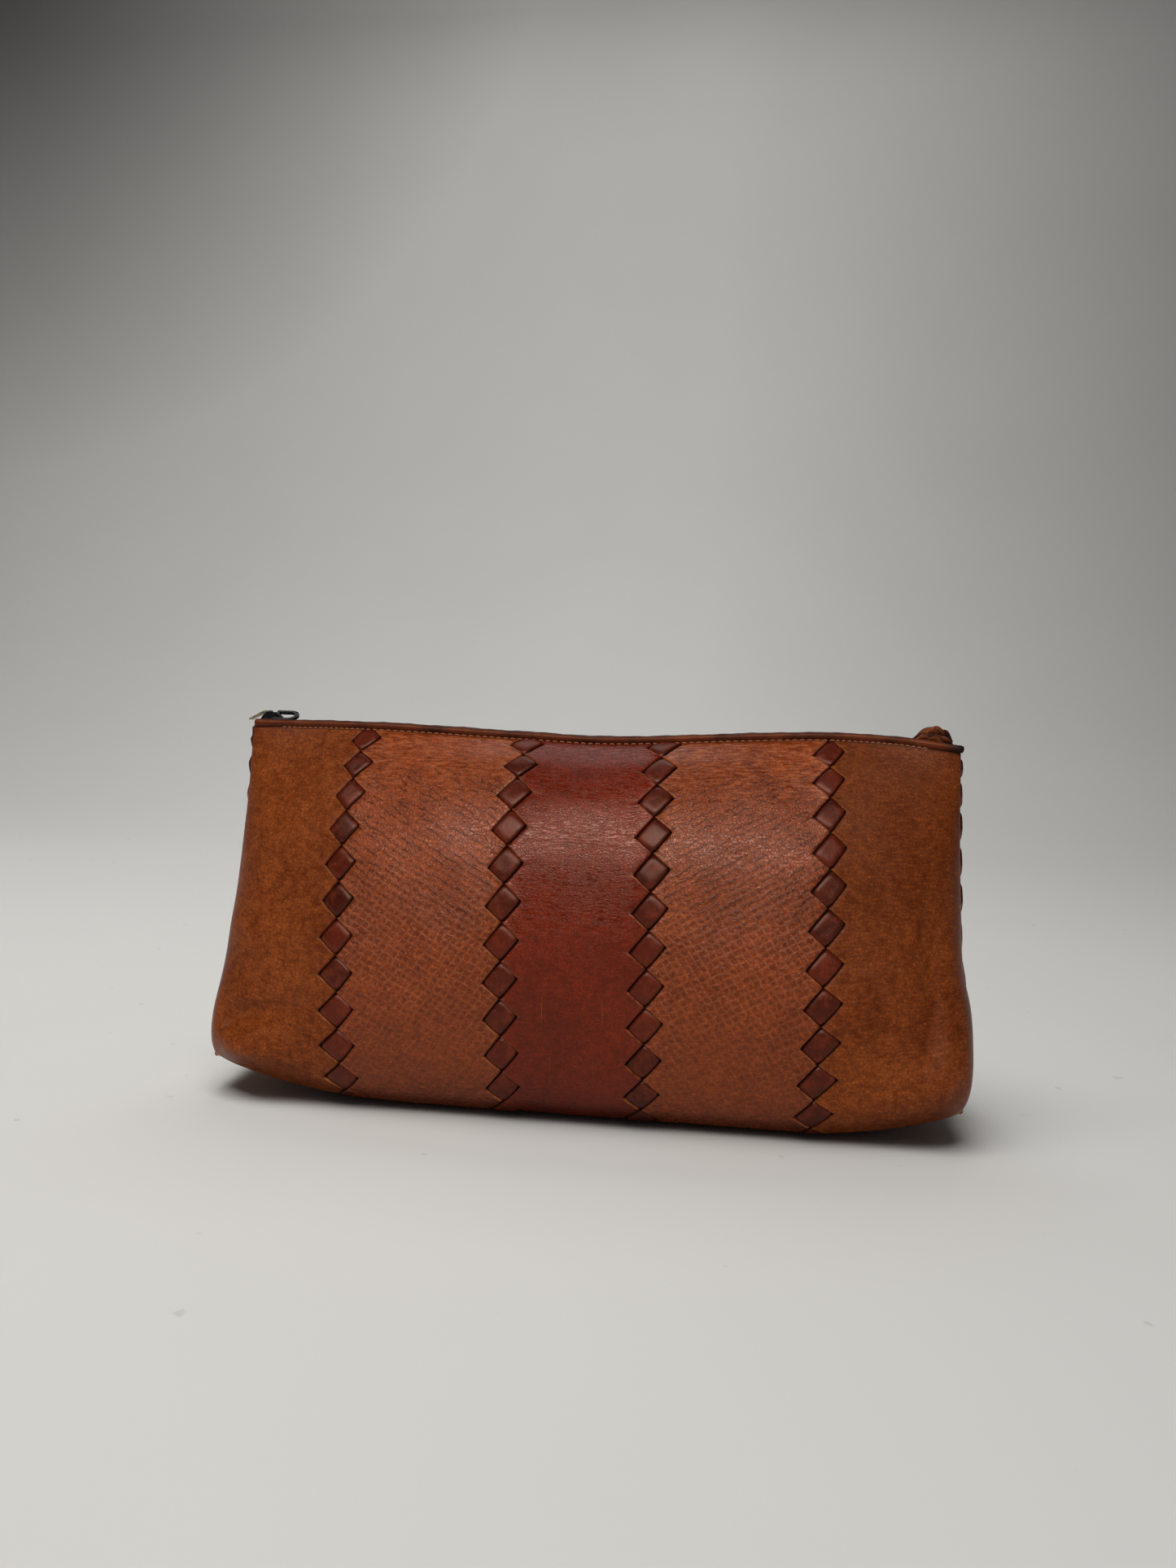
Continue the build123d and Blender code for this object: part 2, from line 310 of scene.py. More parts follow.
def relief(x, z):
    """Soft unevenness of the wall, outwards: slack, the dimples by the corners and the folds at the ends."""
    wave = 0.42 * np.sin(x / 19 + 1.1) * np.sin(z / 17 + 0.7) + 0.22 * np.sin(x / 8.5 - z / 12)
    wave = wave + 0.12 * np.sin(x / 5.5 + z / 7 + 2.0)
    valley = np.exp(-((z - 35 - 0.28 * (x + 130)) / 4.8) ** 2) * plateau(x, (-148, -138), (-122, -98))
    corner = 2.8 * hump(x, z, (-132, 20), (15, 6)) - 4.0 * valley
    corner = corner + 1.2 * hump(x, z, (137, 24), (11, 7)) - 0.9 * hump(x, z, (118, 33), (13, 9))
    fold = -1.9 * np.exp(-((x - 133 + (z - 60) * 0.03) / 4.5) ** 2) * plateau(z, (24, 44), (78, 108))
    slack = 1.1 * hump(x, z, (62, 108), (26, 17)) + 0.8 * hump(x, z, (-52, 112), (16, 14))
    calm = plateau(z, (4, 20), (130, 147)) * (1 - smooth_step(np.abs(x), 139, 147))
    return (wave + corner + fold + slack) * calm


def make_wall(side):
    """Points of the front (-1) or back (1) wall: rows go down, columns run from left seam to right seam."""
    y_line, z_line = wall_profile()
    t = np.linspace(0, 1, ROWS)
    power = smooth_through(t, SQUARENESS)
    wall = np.zeros((ROWS, COLS_END * 2 + COLS_MIDDLE, 3))
    for j in range(ROWS):
        core = min(CORE, y_line[j])
        bulge = y_line[j] - core

        def depth(s):
            s = np.clip(np.abs(s), 0, 1)
            soft = (np.sqrt(s * s + SOFT) - math.sqrt(SOFT)) / (math.sqrt(1 + SOFT) - math.sqrt(SOFT))
            lens = (1 - soft ** power[j]) ** (1 / power[j])
            return core * (1 - s ** 16) ** (1 / 16) + bulge * lens

        middle_x = np.linspace(-OUTER_X, OUTER_X, COLS_MIDDLE)
        reach = np.where(middle_x > 0, end_reach(t[j], True), end_reach(t[j], False))
        middle = wall_point(side, middle_x, depth(middle_x / reach), z_line[j])
        row = [None, middle, None]
        for slot, right in ((0, False), (2, True)):
            sign = 1 if right else -1
            x_end = end_reach(t[j], right)
            phi = np.linspace(0, 1, 500)
            s = 1 - (1 - OUTER_X / x_end) * (1 - phi) ** 2
            x = sign * s * x_end
            line = wall_point(side, x, depth(s), z_line[j])
            line[-1, 1] = 0
            run = run_along(line)
            even = np.linspace(0, run[-1], COLS_END + 1)[1:]
            part = np.stack([np.interp(even, run, line[:, k]) for k in range(3)], -1)
            row[slot] = part if right else part[::-1]
        wall[j] = np.concatenate(row)
    wall[:, :, 1] += side * relief(-side * wall[:, :, 0], wall[:, :, 2])
    return wall


def main_columns():
    """Places along the bag, as a girth coordinate, of the wall's columns."""
    end = np.linspace(0, 1, COLS_END + 1)[1:]
    return np.concatenate([-1 - end[::-1], np.linspace(-1, 1, COLS_MIDDLE), 1 + end])


FRONT = make_wall(-1)
BACK = make_wall(1)
GIRTH = main_columns()


def girth_of(x):
    """The girth coordinate of a place between the outer columns."""
    return np.asarray(x, float) / OUTER_X


def grid_sample(grid, girth, t):
    """Bilinear sample of a wall at (girth, t)."""
    col = np.interp(girth, GIRTH, np.arange(len(GIRTH)))
    row = np.clip(t, 0, 1) * (ROWS - 1)
    i = np.clip(col.astype(int), 0, len(GIRTH) - 2)
    j = np.clip(row.astype(int), 0, ROWS - 2)
    fi = (col - i)[..., None]
    fj = (row - j)[..., None]
    top = grid[j, i] * (1 - fi) + grid[j, i + 1] * fi
    low = grid[j + 1, i] * (1 - fi) + grid[j + 1, i + 1] * fi
    return top * (1 - fj) + low * fj


def corner_girth():
    """Where the boxed corner's tip lies: the plan outline turns through 45 degrees there."""
    foot = FRONT[-1, -COLS_END:]
    step = np.abs(np.diff(foot, axis=0))
    return 1.0 + (int(np.argmax(step[:, 1] > step[:, 0])) + 1) / COLS_END


TIP = corner_girth()
BASE_DROP = 2.2              # from the walls' foot down to the floor


def foot_line(r):
    """The corner seam from the front tip (r = 0) to the back tip (r = 1), at the right end's girth."""
    front = TIP + (2 - TIP) * np.clip(2 * r, 0, 1)
    back = TIP + (2 - TIP) * np.clip(2 - 2 * r, 0, 1)
    return np.where(r < 0.5, front, back)


def skin(girth, q):
    """A point of the outer face. q runs 0 to 1 down the front, to 2 under the base, to 3 up the back."""
    girth, q = np.broadcast_arrays(np.asarray(girth, float), np.asarray(q, float))
    one = np.ones_like(q)
    front = grid_sample(FRONT, girth, np.clip(q, 0, 1))
    back = grid_sample(BACK, girth, np.clip(3 - q, 0, 1))
    r = np.clip(q - 1, 0, 1)
    side = np.sign(girth)

    def across(place):
        """The straight line under the base between the two walls' feet."""
        share = r[..., None]
        return grid_sample(FRONT, place, one) * (1 - share) + grid_sample(BACK, place, one) * share

    flat, chord = across(girth), across(side * TIP)
    seam_girth = side * foot_line(r)
    near, far = (grid_sample(wall, seam_girth, one) for wall in (FRONT, BACK))
    seam = np.where((r < 0.5)[..., None], near, far)
    ease = np.clip((np.abs(girth) - 1) / (TIP - 1), 0, 1)[..., None] ** 1.5
    base = flat + ease * (seam - chord)
    inward = 1 - (2 * r - 1) ** 2
    base[..., 2] -= BASE_DROP * smooth_step(inward, 0.0, 0.5) * (1 - ease[..., 0])
    return np.where((q < 1)[..., None], front, np.where((q > 2)[..., None], back, base))


def normals(girth, q):
    """Outward unit normals of the skin."""
    step = 0.004
    along = skin(girth + step, q) - skin(girth - step, q)
    down = skin(girth, np.clip(q + step, 0, 3)) - skin(girth, np.clip(q - step, 0, 3))
    n = np.cross(down, along)
    return n / np.maximum(np.linalg.norm(n, axis=-1, keepdims=True), 1e-9)


# ---- mesh helpers

def smooth(mesh):
    mesh.polygons.foreach_set("use_smooth", [True] * len(mesh.polygons))


def make_object(name, points, faces, material, attributes, uv):
    """A mesh piece from millimetre points, in place of its node on the fixed body.
    """
    mesh = bpy.data.meshes.new(name)
    mesh.from_pydata((np.asarray(points) * MM).tolist(), [], [list(f) for f in faces])
    mesh.validate()
    mesh.update()
    for key, values in attributes.items():
        layer = mesh.attributes.new(key, "FLOAT", "POINT")
        layer.data.foreach_set("value", np.asarray(values, np.float32).ravel())
    if uv is not None:
        layer = mesh.uv_layers.new(name="flat")
        loops = np.zeros(len(mesh.loops), np.int32)
        mesh.loops.foreach_get("vertex_index", loops)
        layer.data.foreach_set("uv", np.asarray(uv, np.float32)[loops].ravel())
    smooth(mesh)
    mesh.materials.append(material)
    piece = bpy.data.objects.new(name, mesh)
    scene.collection.objects.link(piece)
    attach(piece, "root")
    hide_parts(name)
    return piece


def ring_grid_faces(rows, cols):
    """Faces of a closed tube whose rows are rings of points, with both ends capped by strips."""
    faces = []
    for j in range(rows - 1):
        for i in range(cols):
            k = (i + 1) % cols
            faces.append((j * cols + i, j * cols + k, (j + 1) * cols + k, (j + 1) * cols + i))
    half = cols // 2
    for j, flip in ((0, True), (rows - 1, False)):
        for i in range(half - 1):
            quad = (j * cols + i, j * cols + i + 1, j * cols + cols - 2 - i, j * cols + cols - 1 - i)
            faces.append(quad[::-1] if flip else quad)
    return faces


# ---- lacing layout

PITCH = 14.1
STEPS = 20                   # mesh rows for each diamond
HALF = 6.8                   # half a diamond's width
SKEW = 0.1                   # the lace climbs to the right: left corners sit lower, right corners higher
# how much the lace is bunched up at the lips
GATHER = {"left_outer": 2.0, "left_inner": 2.0, "right_inner": -1.4, "right_outer": 2.0}
PHASE = {"left_outer": 0.40, "left_inner": 0.30, "right_inner": 0.20, "right_outer": 0.50}
# where each column strays to, along the bag, at diamonds counted from the lip
DRIFT = {
    "left_outer": [(0, -0.4), (1, -1.4), (2.2, -2.1), (4, -1.6), (6, -0.4), (8, 1.6), (10.5, 2.6)],
    "left_inner": [(0, 0.5), (10.5, 0.5)],
    "right_inner": [(0, 0.2), (3, 0.2), (10.5, -1.4)],
    "right_outer": [(0, -0.2), (3, -0.2), (10.5, -2.2)],
}


def column_table(x):
    """Arc length against q down the skin at a column."""
    q = np.linspace(0, 3, 1500)
    return q, run_along(skin(np.full_like(q, girth_of(x)), q))


TABLES = {name: column_table(x) for name, x in zip(COLUMNS, COLUMN_X)}
GIRTH_LENGTH = float(np.mean([run[-1] for _, run in TABLES.values()]))
COUNT = int(round(GIRTH_LENGTH / PITCH))
ROW_LINES = np.arange(0, COUNT * STEPS + 1) / STEPS


def q_at(name, diamonds):
    """q at a distance, in diamonds, from the front lip of a column. Diamond k is centred on k + its phase."""
    q, run = TABLES[name]
    diamonds = np.asarray(diamonds, float)
    pitch = (run[-1] + 2 * GATHER[name]) / (COUNT - 0.2)
    from_lips = smooth_step(diamonds, 0.3, 1.8) + smooth_step(diamonds, COUNT - 2.0, COUNT - 0.5)
    return np.interp(diamonds * pitch - GATHER[name] * from_lips, run, q)


def column_wobble(name, diamonds):
    """How far the column's middle strays from its straight line."""
    k = COLUMNS.index(name)
    diamonds = np.asarray(diamonds, float)
    stray = smooth_through(np.minimum(diamonds, COUNT - diamonds), DRIFT[name])
    return stray + 0.4 * np.sin(0.55 * diamonds + 1.7 * k) + 0.2 * np.sin(1.3 * diamonds + k)


def laced_edge(diamonds, phase, to_right):
    """A panel's saw teeth on one side of a column: their reach, 0 to 1, and where the cut edge shows."""
    f = np.mod(np.asarray(diamonds) - phase + 0.5, 1.0)
    peak = 0.5 + (SKEW if not to_right else -SKEW)
    reach = np.where(f < peak, f / peak, (1 - f) / (1 - peak))
    below = smooth_step(f, peak - 0.02, peak + 0.04)
    shows = (1 - below) if to_right else below
    return reach, shows


# Steps in from a cut edge: distance in, depth below the face, how much of the edge's colour or painted slit
# shade shows.
EDGE_STEPS = [(0.0, 1.5, 1.0), (0.0, 0.8, 1.0), (0.10, 0.32, 0.9), (0.38, 0.08, 0.5), (0.8, 0.0, 0.12),
              (1.5, 0.0, 0.0)]
INNER_COLS = 52
EDGE_GAP = 0.12              # between a column's middle line and the panel's inmost cut
THICKNESS = 1.5


def edge_lift(distance, reach, shows):
    """Flaps over the lace stand up, the slit's side dips, and the leather puffs between two diamonds."""
    flap = (0.42 * shows - 0.30 * (1 - shows)) * np.exp(-distance / 1.3)
    return flap + 0.45 * (1 - reach) * np.exp(-distance / 3.5) * (1 - np.exp(-distance / 0.8))


def lip_closeness(diamonds):
    """1 at the bound lips and 0 more than a stitch's width below them."""
    away = np.minimum(diamonds, COUNT - 0.25 - diamonds) * PITCH
    return np.clip(1 - away / 3.2, 0, 1)


def panel_between(name, left, right, material):
    """A panel between two laced columns, with saw-toothed edges."""
    rows = ROW_LINES
    x_left = COLUMN_X[COLUMNS.index(left)]
    x_right = COLUMN_X[COLUMNS.index(right)]
    reach_left, shows_left = laced_edge(rows, PHASE[left], True)
    reach_right, shows_right = laced_edge(rows, PHASE[right], False)
    edge_left = x_left + column_wobble(left, rows) + EDGE_GAP + HALF * reach_left
    edge_right = x_right + column_wobble(right, rows) - EDGE_GAP - HALF * reach_right
    none = np.zeros_like(rows)
    line = [
        (edge_left + d, none + depth, raw * shows_left, raw * (1 - shows_left))
        for d, depth, raw in EDGE_STEPS
    ]
    start = EDGE_STEPS[-1][0]
    for s in np.linspace(0, 1, INNER_COLS + 2)[1:-1]:
        straight = x_left + start + (x_right - x_left - 2 * start) * s
        pull_left = (edge_left - x_left) * np.clip(1 - s * 2.6, 0, 1) ** 1.5
        pull_right = (edge_right - x_right) * np.clip(1 - (1 - s) * 2.6, 0, 1) ** 1.5
        line.append((straight + pull_left + pull_right, none, none, none))
    line += [
        (edge_right - d, none + depth, raw * shows_right, raw * (1 - shows_right))
        for d, depth, raw in EDGE_STEPS[::-1]
    ]
    ring = line + [(x, none + THICKNESS, none, none) for x, _, _, _ in line[-2:0:-1]]
    points, raws, slit_shades, flat = [], [], [], []
    for x, depth, raw, slit_shade in ring:
        share = (x - x_left) / (x_right - x_left)
        q = q_at(left, rows) * (1 - share) + q_at(right, rows) * share
        g = girth_of(x)
        lift = edge_lift(x - edge_left, reach_left, shows_left)
        lift = lift + edge_lift(edge_right - x, reach_right, shows_right)
        points.append(skin(g, q) + normals(g, q) * (lift - depth)[:, None])
        raws.append(raw)
        slit_shades.append(slit_shade)
        flat.append(np.stack([np.abs(x), rows * PITCH], -1))
    points = np.stack(points, 1)
    make_object(
        name, points.reshape(-1, 3), ring_grid_faces(len(rows), points.shape[1]), material,
        attributes={
            "raw": np.stack(raws, 1), "slit_shade": np.stack(slit_shades, 1),
            "lip": np.repeat(lip_closeness(rows), points.shape[1]),
        },
        uv=np.stack(flat, 1).reshape(-1, 2),
    )


# ---- leathers

RAW = rgb(140, 84, 46)
# the near-black below is painted shade in the slits where the lace runs under the panels
SLIT_SHADE = rgb(30, 10, 6)
WORN = rgb(176, 132, 84)
TINT = (1.0, 0.60, 0.48, 1)  # the wax on the leather reflects warmly
# An embossed panel's mesh by its place from the front lip (0) to the back lip (1): where it stands crisp,
# and the band below the lip that hands have rubbed smooth and wrinkled.
CRISP = ((0.05, 0.0), (0.12, 0.18), (0.20, 1.0), (0.28, 0.80), (0.36, 0.30), (0.62, 0.35), (0.74, 1.0),
         (0.88, 0.3))
RUBBED_BAND = ((0.03, 0.0), (0.08, 1), (0.17, 1), (0.25, 0))


def shaded(tone, share):
    return tuple(level * share for level in tone[:3]) + (1,)


def emboss(s, colour, normal, flat, fibre, grid):
    """A mesh of small squares on their corners, worn smooth in places."""
    line, hollow_tone, size = grid
    waves = [
        s.bands(s.place((1, 1, 1), "flat", math.radians(turn)), "X", math.pi / 10 / size, Distortion=5.5,
                Detail=5.0, Detail_Scale=1.1, Detail_Roughness=0.70)
        for turn in (-62, 35)
    ]
    both = s.math("MAXIMUM", *waves)
    ridge = s.ramp(both, (0.80, 0), (0.99, 1))
    hollow = s.ramp(both, (0.25, 1), (0.70, 0))
    down = s.plus(s.math("DIVIDE", s.axes(flat)[1], COUNT * PITCH),
                  s.times(s.math("SUBTRACT", s.noise(flat, 0.05, 3), 0.5), 0.16))
    kept = s.times(s.ramp(down, *CRISP), s.ramp(s.noise(flat, 0.55, 5, 0.75), (0.42, 0.1), (0.60, 1)))
    ridge, hollow = s.times(ridge, kept), s.times(hollow, kept)
    colour = s.lay(colour, ridge, 0.30, line)
    colour = s.lay(colour, hollow, 0.52, hollow_tone)
    normal = s.bump(s.math("SUBTRACT", ridge, hollow), 0.7, 0.00010, normal)
    golden = s.times(s.ramp(down, (0.0, 1), (0.05, 0.9), (0.11, 0)), s.ramp(fibre, (0.48, 0), (0.60, 1)))
    colour = s.lay(colour, golden, 0.4, line)
    rubbed_band = s.ramp(down, *RUBBED_BAND)
    wrinkle = s.times(s.ramp(waves[0], (0.0, 1), (0.22, 0.0)), rubbed_band)
    wrinkle = s.times(wrinkle, s.ramp(s.noise(flat, 0.16, 3), (0.42, 0), (0.54, 1)))
    crackle = s.inverse(s.ramp(s.cells(s.place((1.0, 0.7, 1), "flat", 0.5), 0.72), (0.0, 0), (0.10, 1)))
    lines = s.math("MAXIMUM", wrinkle, s.times(s.times(crackle, rubbed_band), 0.6))
    colour = s.lay(colour, lines, 0.85, hollow_tone)
    return colour, s.bump(s.inverse(lines), 0.7, 0.00010, normal)


def leather(name, light, dark, rough, pebble, level, foot, grid=None, scratches=0.0, deepen=0.0):
    """Aniline leather: patchy colour, pebble grain and creases. It darkens by deepen to the right and by
    foot towards the floor, a painted shade, and grid gives an embossed mesh."""
    s = Shader(name)
    where = s.place()
    flat = s.place(uv="flat")
    deep = shaded(dark, 0.5)
    x, _, z = s.axes(where)
    patina = s.ramp(s.noise(where, 26, 6, 0.66), (0.38, 0), (0.62, 1))
    mottle = s.ramp(s.noise(where, 230, 6, 0.78), (0.40, 0), (0.60, 1))
    colour = s.mix(s.plus(s.times(patina, 0.5), s.times(mottle, 0.5)), dark, light)
    # painted shade: the wall is darkened by foot towards the floor, where it faces down away from the lights
    colour = s.lay(colour, s.ramp(s.times(z, 8.0), (0.0, 1), (0.85, 0)), foot, deep)
    if deepen:
        right = s.math("ADD", s.times(x, 3.2), 0.5, True)
        right = s.times(right, s.math("ADD", s.times(z, 6.0), 0.15, True))
        colour = s.lay(colour, right, deepen, deep)
    fibre = s.noise(s.place((0.14, 0.80, 1), "flat", math.radians(-62)), 1.2, 5, 0.74)
    colour = s.lay(colour, s.ramp(fibre, (0.50, 0), (0.64, 1)), 0.45, light)
    colour = s.lay(colour, s.ramp(fibre, (0.36, 1), (0.48, 0)), 0.30, deep)
    grain = s.ramp(s.cells(where, pebble), (0.0, 0), (0.24, 1))
    speck = s.noise(where, pebble * 0.62, 4, 0.75)
    colour = s.lay(colour, s.inverse(grain), 0.45, deep)
    colour = s.lay(colour, s.ramp(speck, (0.50, 0), (0.62, 1)), 0.45, deep)
    normal = s.bump(s.plus(grain, speck), 0.8, 0.000045)
    creases = s.ramp(s.noise(s.place((0.10, 0.62, 1), "flat", math.radians(-58)), 1.6, 6, 0.66, 0.8),
                     (0.45, 1), (0.50, 0.0), (0.55, 1))
    colour = s.lay(colour, s.inverse(creases), 0.16, deep)
    normal = s.bump(creases, 0.4, 0.00006, normal)
    gloss = s.plus(rough, s.times(s.math("SUBTRACT", mottle, 0.5), 0.10))
    if grid:
        colour, normal = emboss(s, colour, normal, flat, fibre, grid)
    if scratches:
        lines = s.noise(s.place((1.5, 0.035, 1), "flat", math.radians(8)), 1.0, 2, 0.5)
        patch = s.ramp(s.noise(flat, 0.05, 2), (0.45, 0), (0.6, 1))
        colour = s.lay(colour, s.times(s.ramp(lines, (0.70, 0), (0.735, 1)), patch), scratches, RAW)
    ragged = s.ramp(s.noise(where, 330, 4, 0.75), (0.38, 0.0), (0.60, 1))
    colour = s.lay(colour, s.attribute("raw"), ragged, RAW)
    # painted shade: cut edges that dip into the lace's slits are painted near black
    colour = s.lay(colour, s.attribute("slit_shade"), 0.85, SLIT_SHADE)
    # painted shade: a dark line just under the bound lips, where the binding overhangs the wall
    painted_lip_shade = s.ramp(s.attribute("lip"), (0.0, 0), (0.45, 0.10), (0.62, 0.85), (0.80, 0.75), (1.0, 1.0))
    colour = s.lay(colour, painted_lip_shade, 0.8, shaded(dark, 0.2))
    tips = s.ramp(s.noise(where, 380, 4, 0.7), (0.36, 0.1), (0.6, 0.9))
    colour = s.lay(colour, s.attribute("worn"), tips, WORN)
    return s.finish(colour, gloss, normal, Specular_IOR_Level=level, Specular_Tint=TINT)


def lace_leather():
    s = Shader("lace_leather")
    where = s.place()
    colour = s.mix(s.attribute("tint"), rgb(50, 11, 4), rgb(76, 21, 8))
    patches = s.ramp(s.noise(where, 230, 5, 0.7), (0.46, 0), (0.68, 1))
    colour = s.lay(colour, patches, 0.5, rgb(112, 40, 18))
    strokes = s.noise(s.place((0.5, 2.6, 1), "flat"), 1.5, 5, 0.7)
    colour = s.lay(colour, s.ramp(strokes, (0.5, 0), (0.72, 1)), 0.35, rgb(116, 52, 28))
    rim = s.ramp(s.attribute("edge"), (0.78, 0), (0.93, 0.6), (1.0, 1))
    colour = s.lay(colour, rim, 0.8, rgb(22, 6, 3))
    pores = s.ramp(s.cells(where, 1100), (0.0, 0), (0.2, 1))
    normal = s.bump(pores, 0.5, 0.00003)
    normal = s.bump(strokes, 0.6, 0.00012, normal)
    rough = s.plus(0.30, s.times(patches, 0.12))
    return s.finish(colour, rough, normal, Specular_IOR_Level=0.34, Specular_Tint=TINT)


def binding_leather():
    s = Shader("binding_leather")
    where = s.place()
    tone = s.ramp(s.noise(where, 90, 5, 0.65), (0.32, 0), (0.7, 1))
    colour = s.mix(tone, rgb(44, 15, 6), rgb(88, 36, 15))
    # painted highlight: a lighter band along the upper side of the bound edge, and on the ridges of the tab
    painted_highlight = s.ramp(s.attribute("rise"), (0.1, 0), (0.45, 1), (0.85, 0))
    painted_highlight = s.times(painted_highlight, s.ramp(tone, (0.2, 0.25), (0.8, 1)))
    colour = s.lay(colour, painted_highlight, 0.35, rgb(150, 86, 50))
    # near black where the attribute says: the inked right end of the bound edge and the tab's frayed tip, and
    # painted shade in the tab's folds
    colour = s.mix(s.attribute("ink_and_fold_shade"), colour, rgb(12, 6, 5))
    pores = s.ramp(s.cells(where, 1200), (0.0, 0), (0.2, 1))
    normal = s.bump(s.plus(pores, s.noise(where, 500, 4)), 0.6, 0.00006)
    rough = s.plus(0.36, s.times(tone, 0.1))
    return s.finish(colour, rough, normal, Specular_IOR_Level=0.18, Specular_Tint=TINT)


def thread():
    s = Shader("thread")
    twist = s.bands(s.place(), "DIAGONAL", 900)
    colour = s.mix(twist, rgb(92, 48, 30), rgb(168, 112, 84))
    return s.finish(colour, 0.75, s.bump(twist, 0.5, 0.00006), Specular_IOR_Level=0.2)


def woven(name, light, dark, threads, rough):
    """Plain woven cloth."""
    s = Shader(name)
    where = s.place()
    weave = s.times(*(s.bands(where, direction, threads, Distortion=0.6) for direction in ("X", "Z")))
    colour = s.mix(s.plus(s.times(weave, 0.7), s.times(s.noise(where, 60), 0.3)), dark, light)
    return s.finish(colour, rough, s.bump(weave, 0.6, 0.0001), Specular_IOR_Level=0.2)


def metal(name, bright, tarnish, rough, amount, metallic=1.0):
    """Worn plated metal: tarnish in patches, scratched finish."""
    s = Shader(name)
    where = s.place()
    spots = s.ramp(s.noise(where, 900, 5, 0.65), (0.5 - amount * 0.25, 0), (0.56 + (1 - amount) * 0.2, 1))
    colour = s.mix(spots, tarnish, bright)
    brushed = s.noise(s.place((3, 1, 12)), 700, 4, 0.7)
    rough = s.plus(rough, s.times(brushed, 0.22))
    return s.finish(colour, rough, s.bump(brushed, 0.4, 0.00002), Metallic=metallic)


TAN = leather("tan_leather", rgb(154, 78, 32), rgb(92, 36, 8), 0.38, 700, level=0.20, foot=0.06, deepen=0.66)
EMBOSSED = leather("embossed_leather", rgb(158, 70, 25), rgb(98, 35, 7), 0.24, 700, level=0.50, foot=0.62,
                   grid=(rgb(180, 110, 70), rgb(44, 12, 2), 2.7))
CENTRE = leather("centre_leather", rgb(120, 33, 4), rgb(80, 17, 2), 0.22, 850, level=0.44, foot=0.30,
                 scratches=0.3)
LACE = lace_leather()
BINDING = binding_leather()
THREAD = thread()
LINING = woven("lining_fabric", rgb(70, 52, 40), rgb(36, 26, 20), 700, 0.9)
ZIP_TAPE = woven("zip_tape", rgb(52, 36, 28), rgb(22, 15, 12), 900, 0.85)
ZIP_METAL = metal("zip_metal", rgb(150, 128, 84), rgb(62, 48, 30), 0.30, 0.6)
GUNMETAL = metal("gunmetal", rgb(44, 42, 42), rgb(10, 10, 11), 0.25, 0.7, 0.8)
WORN_BRASS = metal("worn_brass", rgb(176, 164, 128), rgb(84, 74, 52), 0.32, 0.4)
RING_METAL = metal("ring_metal", rgb(96, 98, 102), rgb(34, 34, 37), 0.34, 0.5)

panel_between("left_embossed_panel", "left_outer", "left_inner", EMBOSSED)
panel_between("centre_panel", "left_inner", "right_inner", CENTRE)
panel_between("right_embossed_panel", "right_inner", "right_outer", EMBOSSED)


# ---- end panels

SEAM_PITCH = 12.2            # lacing down the ends is a little closer
SEAM_COUNT = int((LIP_CUT - SEAM_FOOT_Z) / SEAM_PITCH)
SEAM_HALF = 4.2
SEAM_GAP = 0.3               # between the seam's middle line and the panel's inmost cut
SEAM_COLS = 26
SEAM_TOP = 0.03              # share of the wall above the first diamond


def weld(piece, distance):
    """Join the vertices of neighbouring grids, and smooth over the join."""
    work = bmesh.new()
    work.from_mesh(piece.data)
    bmesh.ops.remove_doubles(work, verts=work.verts, dist=distance)
    bmesh.ops.dissolve_degenerate(work, edges=work.edges, dist=distance / 10)
    bmesh.ops.recalc_face_normals(work, faces=work.faces)
    work.to_mesh(piece.data)
    work.free()
    smooth(piece.data)


def thicken(piece, thickness):
    """Give a sheet its thickness, inwards."""
    solid = piece.modifiers.new("thickness", "SOLIDIFY")
    solid.thickness = thickness
    solid.offset = -1
    solid.use_even_offset = False


def grid_faces(rows, cols, start=0, flip=False):
    faces = []
    for j in range(rows - 1):
        for i in range(cols - 1):
            a = start + j * cols + i
            quad = (a, a + 1, a + cols + 1, a + cols)
            faces.append(quad[::-1] if flip else quad)
    return faces


